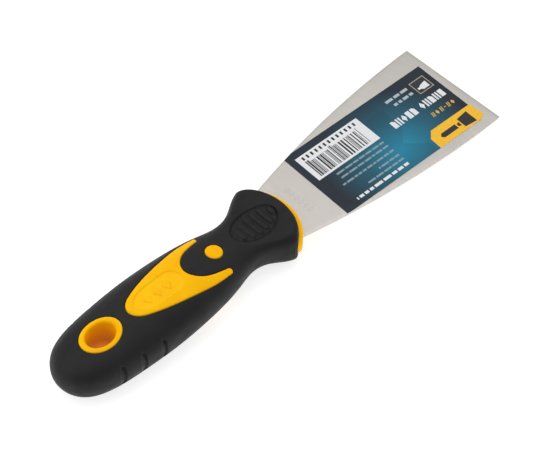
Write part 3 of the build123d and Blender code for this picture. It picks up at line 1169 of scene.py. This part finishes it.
def label_to_blade(p, q):
    """X and Y on the blade of a place on the label."""
    c, s = math.cos(LABEL_TURN), math.sin(LABEL_TURN)
    return LABEL_CENTRE[0] + p * c - q * s, LABEL_CENTRE[1] + p * s + q * c


def label_outline():
    """The sheet's outline on the blade. Where it would overhang, it is cut back to the blade's side."""
    hp, hq = LABEL_HALF
    neck, front, corner = PLATE_OUTLINE[:3]
    corners = [(-hp, hq), (-hp, -hq), corner, front, neck, (hp, neck[1]), (hp, hq)]
    line = []
    for (p0, q0), (p1, q1) in zip(corners, corners[1:] + corners[:1]):
        steps = max(1, int(math.hypot(p1 - p0, q1 - q0) / OUTLINE_STEP))
        for share in np.arange(steps) / steps:
            x, y = label_to_blade(p0 + (p1 - p0) * share, q0 + (q1 - q0) * share)
            limit = float(blade_half_width(x)) - LABEL_MARGIN
            line.append((x, max(-limit, min(limit, y))))
    return np.array(line)


def make_label(inks):
    """The printed sheet: one mesh whose triangles follow every printed shape, with an ink for each."""
    outline = label_outline()
    shapes = [(ink, np.array([label_to_blade(*p) for p in shape])) for ink, shape in label_shapes()]
    points, edges = [], []
    for line in [outline] + [shape for _, shape in shapes]:
        base, count = len(points), len(line)
        points += [tuple(p) for p in line]
        edges += [(base + i, base + (i + 1) % count) for i in range(count)]
    # A small shift keeps the grid's points off the printed edges.
    for p in np.arange(-36, 37, LABEL_GRID) + LABEL_GRID_SHIFT[0]:
        for q in np.arange(-18, 19, LABEL_GRID) + LABEL_GRID_SHIFT[1]:
            points.append(label_to_blade(p, q))
    places, faces, _ = triangles(points, edges)
    faces = faces[inside_outline(places[faces].mean(axis=1), outline)]
    centres = places[faces].mean(axis=1)
    names = ["ground_ink"] + sorted({ink for ink, _ in shapes})
    which = np.zeros(len(faces), int)
    for ink, shape in shapes:
        which[inside_outline(centres, shape)] = names.index(ink)
    used, faces = np.unique(faces, return_inverse=True)
    places = places[used]
    size = len(places)
    top = np.c_[places, np.full(size, BLADE_HALF_THICKNESS + LABEL_THICKNESS)]
    under = np.c_[places, np.full(size, BLADE_HALF_THICKNESS + LABEL_LIFT)]
    upward = np.tile([0.0, 0.0, 1.0], (size, 1))
    top_faces = facing(top, faces.reshape(-1, 3), upward).tolist()
    bottom = [[i + size for i in f[::-1]] for f in top_faces]
    walls = [[b, a, a + size, b + size] for a, b in boundary_edges(top_faces)]
    mesh = bpy.data.meshes.new("label_sheet")
    mesh.from_pydata(to_row(np.vstack([top, under])).tolist(), [], top_faces + bottom + walls)
    for name in names:
        mesh.materials.append(inks[name])
    index = list(which) + [names.index("paper_ink")] * (len(bottom) + len(walls))
    mesh.polygons.foreach_set("material_index", np.array(index, np.int32))
    mesh.update()
    piece = bpy.data.objects.new("label_sheet", mesh)
    bpy.context.scene.collection.objects.link(piece)
    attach(piece, "root")
    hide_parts("blade_label")


# ---------------------------------------------------------------- materials

class Nodes:
    """A small helper that builds a node material."""

    def __init__(self, name):
        self.material = bpy.data.materials.new(name)
        self.material.use_nodes = True
        self.tree = self.material.node_tree
        self.tree.nodes.clear()
        self.shader = self.tree.nodes.new("ShaderNodeBsdfPrincipled")
        output = self.tree.nodes.new("ShaderNodeOutputMaterial")
        self.link(self.shader.outputs[0], output.inputs[0])
        self.place = self.tree.nodes.new("ShaderNodeTexCoord").outputs["Object"]

    def link(self, a, b):
        self.tree.links.new(a, b)

    def add(self, kind, values=None, **settings):
        node = self.tree.nodes.new(kind)
        for key, value in settings.items():
            setattr(node, key, value)
        for key, value in (values or {}).items():
            if isinstance(value, bpy.types.NodeSocket):
                self.link(value, node.inputs[key])
            else:
                node.inputs[key].default_value = value
        return node

    def noise(self, scale, detail=3.0, roughness=0.5, stretch=(1, 1, 1)):
        vector = self.add("ShaderNodeMapping", {"Vector": self.place, "Scale": stretch}).outputs[0]
        values = {"Vector": vector, "Scale": scale, "Detail": detail, "Roughness": roughness}
        return self.add("ShaderNodeTexNoise", values).outputs["Fac"]

    def math(self, operation, a, b=0.0, c=0.0):
        return self.add("ShaderNodeMath", {0: a, 1: b, 2: c}, operation=operation).outputs[0]

    def ramp(self, fac, low, high, dark, light):
        """Two colours, from dark at low to light at high."""
        node = self.add("ShaderNodeValToRGB", {"Fac": fac})
        node.color_ramp.elements[0].position = low
        node.color_ramp.elements[1].position = high
        node.color_ramp.elements[0].color = (*dark, 1)
        node.color_ramp.elements[1].color = (*light, 1)
        return node.outputs["Color"]

    def spread(self, fac, low, high, bottom, top):
        """A number between bottom and top as fac goes from low to high."""
        values = {"Value": fac, "From Min": low, "From Max": high, "To Min": bottom, "To Max": top}
        return self.add("ShaderNodeMapRange", values).outputs["Result"]

    def mix(self, fac, a, b, blend="MIX"):
        node = self.add("ShaderNodeMix", data_type="RGBA", blend_type=blend)
        for socket, value in ((node.inputs[0], fac), (node.inputs[6], a), (node.inputs[7], b)):
            if isinstance(value, bpy.types.NodeSocket):
                self.link(value, socket)
            elif isinstance(value, tuple):
                socket.default_value = (*value, 1)
            else:
                socket.default_value = value
        return node.outputs[2]

    def bump(self, height, strength, distance, under=None):
        values = {"Height": height, "Strength": strength, "Distance": distance}
        if under is not None:
            values["Normal"] = under
        return self.add("ShaderNodeBump", values).outputs[0]

    def attribute(self, name):
        return self.add("ShaderNodeAttribute", attribute_name=name).outputs["Fac"]

    def modelling_axes(self):
        """X, Y and Z of the place in millimetres, in the modelling frame."""
        parts = self.add("ShaderNodeSeparateXYZ", {0: self.place}).outputs
        shifted = zip(parts, (EDGE_X, 0.0, MIDDLE_Z))
        return [self.math("DIVIDE", self.math("SUBTRACT", part, start), MM) for part, start in shifted]

    def set(self, **values):
        for key, value in values.items():
            socket = self.shader.inputs[key.replace("_", " ")]
            if isinstance(value, bpy.types.NodeSocket):
                self.link(value, socket)
            elif isinstance(value, tuple) and len(value) == 3 and "Color" in key:
                socket.default_value = (*value, 1)
            else:
                socket.default_value = value


def rubber_material():
    m = Nodes("grip_elastomer")
    grain = m.noise(2600, 4.0, 0.6)
    cloud = m.noise(70, 3.0)
    smear = m.noise(420, 3.0, 0.6, (0.35, 1, 1))
    colour = m.ramp(cloud, 0.35, 0.7, (0.0105, 0.0105, 0.0120), (0.0150, 0.0150, 0.0165))
    worn = m.mix(m.math("MULTIPLY", m.attribute("rim"), 0.35), colour, (0.03, 0.03, 0.031))
    rough = m.spread(smear, 0.35, 0.65, 0.46, 0.60)
    fine = m.bump(grain, 0.22, 0.00012)
    m.set(Base_Color=worn, Roughness=rough, Normal=fine, IOR=1.29)
    return m.material


BORE_SHADE_HEIGHT = 9.6


def yellow_material(name, with_painted_bore_shade=False):
    m = Nodes(name)
    grain = m.noise(1800, 4.0, 0.55)
    cloud = m.noise(90, 3.0)
    flow = m.noise(240, 2.0, 0.5, (0.3, 1, 1))
    colour = m.ramp(cloud, 0.3, 0.75, (0.95, 0.455, 0.0005), (1.0, 0.535, 0.001))
    # Painted highlight: the yellow is made lighter on the rolled rims, where the rounded edges catch the
    # light.
    edge = m.math("MULTIPLY", m.attribute("rim"), 0.5)
    colour = m.mix(edge, colour, (1.0, 0.60, 0.01))
    if with_painted_bore_shade:
        # Painted shade: inside the bore the same plastic is darkened, most of all half way down, where
        # less light reaches.
        height = m.math("ABSOLUTE", m.modelling_axes()[2])
        colour = m.mix(m.spread(height, 0.0, BORE_SHADE_HEIGHT, 0.92, 0.0), colour, (0.57, 0.155, 0.0))
    rough = m.spread(flow, 0.35, 0.65, 0.34, 0.44)
    fine = m.bump(grain, 0.12, 0.00008)
    m.set(Base_Color=colour, Roughness=rough, Normal=fine, IOR=1.15)
    m.set(Subsurface_Weight=0.08, Subsurface_Scale=0.001)
    # Painted light: a faint orange glow on the yellow plastic, which is no lamp.
    m.set(Emission_Color=(1.0, 0.50, 0.0), Emission_Strength=0.06)
    return m.material


def steel_material():
    m = Nodes("blade_brushed_steel")
    brush = m.noise(900, 3.0, 0.65, (6, 0.12, 1))
    long_brush = m.noise(260, 2.0, 0.5, (5, 0.05, 1))
    cloud = m.noise(45, 3.0)
    colour = m.ramp(brush, 0.3, 0.7, (0.585, 0.56, 0.525), (0.665, 0.64, 0.605))
    tint = m.ramp(cloud, 0.3, 0.7, (0.92, 0.915, 0.90), (1.0, 0.995, 0.985))
    colour = m.mix(1.0, colour, tint, "MULTIPLY")
    stamp = stamp_mask(m)
    colour = m.mix(m.math("MULTIPLY", stamp, 0.55), colour, (0.42, 0.41, 0.40))
    rough = m.spread(long_brush, 0.35, 0.65, 0.36, 0.50)
    first = m.bump(brush, 0.10, 0.00003)
    second = m.bump(stamp, 0.5, -0.00008, first)
    m.set(Base_Color=colour, Metallic=0.9, Roughness=rough, Normal=second)
    return m.material


STAMP_X = -88.6
STAMP_HALF_HEIGHT = 1.6
STAMP_HALF_LENGTH = 7.5
STAMP_PITCH = 2.5
STAMP_SLIM = 2.6
STAMP_LINE_PLACE = 0.75
STAMP_LINE_WIDTH = 0.28


def stamp_mask(m):
    """A faint etched row of small lozenges across the blade near the handle."""
    x, y, z = m.modelling_axes()
    cell = m.math("SUBTRACT", m.math("FRACT", m.math("DIVIDE", y, STAMP_PITCH)), 0.5)
    along = m.math("DIVIDE", m.math("ABSOLUTE", m.math("SUBTRACT", x, STAMP_X)), STAMP_HALF_HEIGHT)
    across = m.math("MULTIPLY", m.math("ABSOLUTE", cell), STAMP_SLIM)
    from_line = m.math("SUBTRACT", m.math("ADD", along, across), STAMP_LINE_PLACE)
    ring = m.spread(m.math("ABSOLUTE", from_line), 0.0, STAMP_LINE_WIDTH, 1.0, 0.0)
    short = m.math("LESS_THAN", m.math("ABSOLUTE", y), STAMP_HALF_LENGTH)
    above = m.math("GREATER_THAN", z, 0.0)
    return m.math("MULTIPLY", m.math("MULTIPLY", ring, short), above)


def print_finish(m, colour):
    """The half-gloss of printed paper."""
    fibre = m.noise(1500, 3.0, 0.6)
    waves = m.noise(60, 2.0)
    m.set(Base_Color=colour, Roughness=m.spread(waves, 0.3, 0.7, 0.26, 0.36))
    m.set(Normal=m.bump(fibre, 0.08, 0.00004), IOR=1.38)


def plain_ink(name, dark, light):
    m = Nodes(name)
    print_finish(m, m.ramp(m.noise(900, 3.0), 0.3, 0.7, dark, light))
    return m.material


GROUND_CENTRE = (-41.0, -10.0)
GROUND_REACH = (34.0, 30.0)


def ground_ink():
    """The label's ground: dark at the handle end and the far side, teal in the middle, in large facets."""
    m = Nodes("label_ground")
    squares = []
    for value, centre, reach in zip(m.modelling_axes(), GROUND_CENTRE, GROUND_REACH):
        away = m.math("DIVIDE", m.math("SUBTRACT", value, centre), reach)
        squares.append(m.math("MULTIPLY", away, away))
    node = m.add("ShaderNodeValToRGB", {"Fac": m.math("SQRT", m.math("ADD", *squares))})
    stops = node.color_ramp.elements
    stops[0].color = (0.010, 0.26, 0.42, 1)
    stops[1].color = (0.010, 0.018, 0.032, 1)
    stops.new(0.5).color = (0.008, 0.105, 0.165, 1)
    scaled = m.add("ShaderNodeMapping", {"Vector": m.place, "Scale": (1, 1, 0)})
    voronoi = {"Vector": scaled.outputs[0], "Scale": 62.0}
    facets = m.add("ShaderNodeTexVoronoi", voronoi, distance="MANHATTAN").outputs["Color"]
    first = m.add("ShaderNodeSeparateColor", {0: facets}).outputs[0]
    shade = m.math("MULTIPLY_ADD", first, 0.30, 0.85)
    grey = m.add("ShaderNodeCombineColor", {0: shade, 1: shade, 2: shade}).outputs[0]
    print_finish(m, m.mix(1.0, node.outputs[0], grey, "MULTIPLY"))
    return m.material


def core_material():
    m = Nodes("core_yellow_plastic")
    grain = m.noise(1500, 4.0, 0.55)
    colour = m.ramp(m.noise(80, 3.0), 0.3, 0.75, (0.50, 0.23, 0.004), (0.60, 0.29, 0.006))
    rough = m.spread(grain, 0.3, 0.7, 0.4, 0.55)
    m.set(Base_Color=colour, Roughness=rough, Normal=m.bump(grain, 0.15, 0.0001))
    return m.material


def rivet_material():
    m = Nodes("rivet_turned_steel")
    turned = m.noise(1200, 2.0, 0.5, (1, 1, 0.1))
    colour = m.ramp(turned, 0.3, 0.7, (0.48, 0.48, 0.47), (0.58, 0.58, 0.57))
    m.set(Base_Color=colour, Metallic=1.0, Roughness=m.spread(turned, 0.3, 0.7, 0.3, 0.45))
    return m.material


def floor_material():
    m = Nodes("studio_floor")
    mottle = m.noise(30, 3.0)
    m.set(Base_Color=m.ramp(mottle, 0.3, 0.7, (0.50, 0.50, 0.50), (0.53, 0.53, 0.53)))
    m.set(Roughness=m.spread(mottle, 0.3, 0.7, 0.85, 0.95), Specular_IOR_Level=0.1)
    m.set(Emission_Color=(1.0, 1.0, 1.0), Emission_Strength=0.76)
    return m.material


# ---------------------------------------------------------------- the pieces

grip = make_grip()
inlays = make_inlays()
caps = make_caps()
eyelet = make_eyelet()
lip = make_lip()
blade = make_blade()
inks = {
    "ground_ink": ground_ink(),
    "plate_ink": plain_ink("print_amber", (0.90, 0.50, 0.02), (1.0, 0.56, 0.03)),
    "paper_ink": plain_ink("print_paper", (0.78, 0.79, 0.80), (0.84, 0.85, 0.86)),
    "dark_ink": plain_ink("print_dark", (0.018, 0.020, 0.024), (0.030, 0.032, 0.036)),
    "white_ink": plain_ink("print_white", (0.76, 0.78, 0.80), (0.84, 0.86, 0.88)),
    "gold_ink": plain_ink("print_gold", (0.70, 0.42, 0.05), (0.80, 0.50, 0.07)),
    "grey_ink": plain_ink("print_grey", (0.40, 0.46, 0.50), (0.48, 0.54, 0.58)),
    "faint_ink": plain_ink("print_faint", (0.20, 0.30, 0.36), (0.26, 0.36, 0.42)),
    "frame_ink": plain_ink("print_frame", (0.48, 0.38, 0.28), (0.56, 0.45, 0.34)),
    "night_ink": plain_ink("print_night", (0.022, 0.026, 0.034), (0.030, 0.036, 0.046)),
}
make_label(inks)

grip.data.materials.append(rubber_material())
yellow = yellow_material("accent_yellow")
for piece in (*inlays, *caps, lip):
    piece.data.materials.append(yellow)
# The bore's copy of the yellow carries painted shade down the hole.
eyelet.data.materials.append(yellow_material("accent_yellow_bore_painted_shade", with_painted_bore_shade=True))
blade.data.materials.append(steel_material())

# The core and the tang's rivets stay as the CAD model has them, and take a look only.
rivet_steel = rivet_material()
carried = {
    "handle_core": core_material(),
    "front_tang_rivet": rivet_steel,
    "rear_tang_rivet": rivet_steel,
}
for node_name, material in carried.items():
    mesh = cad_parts[node_name].data
    mesh.materials.clear()
    mesh.materials.append(material)

# ---------------------------------------------------------------- floor, light and camera

FLOOR_HALF = 3.0
FLOOR_CELLS = 12


def make_floor(height):
    step = 2 * FLOOR_HALF / FLOOR_CELLS
    lines = [-FLOOR_HALF + step * i for i in range(FLOOR_CELLS + 1)]
    points = [(x, y, height) for y in lines for x in lines]
    row = FLOOR_CELLS + 1
    faces = [
        (j * row + i, j * row + i + 1, (j + 1) * row + i + 1, (j + 1) * row + i)
        for j in range(FLOOR_CELLS)
        for i in range(FLOOR_CELLS)
    ]
    mesh = bpy.data.meshes.new("studio_floor")
    mesh.from_pydata(points, [], faces)
    mesh.materials.append(floor_material())
    made = bpy.data.objects.new("studio_floor", mesh)
    bpy.context.scene.collection.objects.link(made)


def softbox(name, place, target, size, power):
    data = bpy.data.lights.new(name, "AREA")
    data.shape = "RECTANGLE"
    data.size, data.size_y = size
    data.energy = power
    lamp = bpy.data.objects.new(name, data)
    lamp.location = place
    lamp.rotation_mode = "QUATERNION"
    lamp.rotation_quaternion = (Vector(target) - Vector(place)).to_track_quat("-Z", "Y")
    bpy.context.scene.collection.objects.link(lamp)


bpy.context.view_layer.update()
low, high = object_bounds()
make_floor(low.z)
world = bpy.data.worlds.new("studio_world")
world.use_nodes = True
sky = world.node_tree
background = sky.nodes["Background"]
direction = sky.nodes.new("ShaderNodeTexCoord").outputs["Generated"]
# The studio is bright overhead and behind the knife, and dim on the side that it is seen from.
dim_side = sky.nodes.new("ShaderNodeVectorMath")
dim_side.operation = "DOT_PRODUCT"
dim_side.inputs[1].default_value = (0.62, 0.60, 0.50)
sky.links.new(direction, dim_side.inputs[0])
fade = sky.nodes.new("ShaderNodeMapRange")
fade.interpolation_type = "SMOOTHSTEP"
fade.inputs["From Min"].default_value = -0.75
fade.inputs["From Max"].default_value = 0.35
fade.inputs["To Min"].default_value = 0.12
fade.inputs["To Max"].default_value = 0.72
sky.links.new(dim_side.outputs["Value"], fade.inputs["Value"])
sky.links.new(fade.outputs["Result"], background.inputs["Strength"])
background.inputs["Color"].default_value = (1.0, 1.0, 1.0, 1)
bpy.context.scene.world = world

softbox("overhead_softbox", (-0.1, 0.3, 1.3), (0, 0, 0), (1.6, 1.4), 6.5)
softbox("left_softbox", (-1.3, 0.5, 0.7), (0, 0, 0), (0.9, 1.0), 3)
softbox("near_softbox", (0.1, -1.5, 0.5), (0, 0, 0.01), (1.4, 0.5), 0.8)

CAMERA_PLACE = (-0.3747, -0.3627, 0.6509)
CAMERA_AZIMUTH = 43.74
CAMERA_DOWN = 50.84
CAMERA_ROLL = 1.70
CAMERA_LENS = 141.25

camera_data = bpy.data.cameras.new("camera")
camera_data.lens = CAMERA_LENS
camera_data.sensor_width = 36.0
camera_data.clip_start = 0.01
camera_data.clip_end = 20
camera = bpy.data.objects.new("camera", camera_data)
heading, down = math.radians(CAMERA_AZIMUTH), math.radians(CAMERA_DOWN)
look = Vector((math.cos(heading) * math.cos(down), math.sin(heading) * math.cos(down), -math.sin(down)))
level = look.to_track_quat("-Z", "Y").to_matrix().to_4x4()
roll = Matrix.Rotation(math.radians(CAMERA_ROLL), 4, "Z")
camera.matrix_world = Matrix.Translation(CAMERA_PLACE) @ level @ roll
bpy.context.scene.collection.objects.link(camera)
bpy.context.scene.camera = camera
bpy.context.scene.view_settings.view_transform = "Standard"
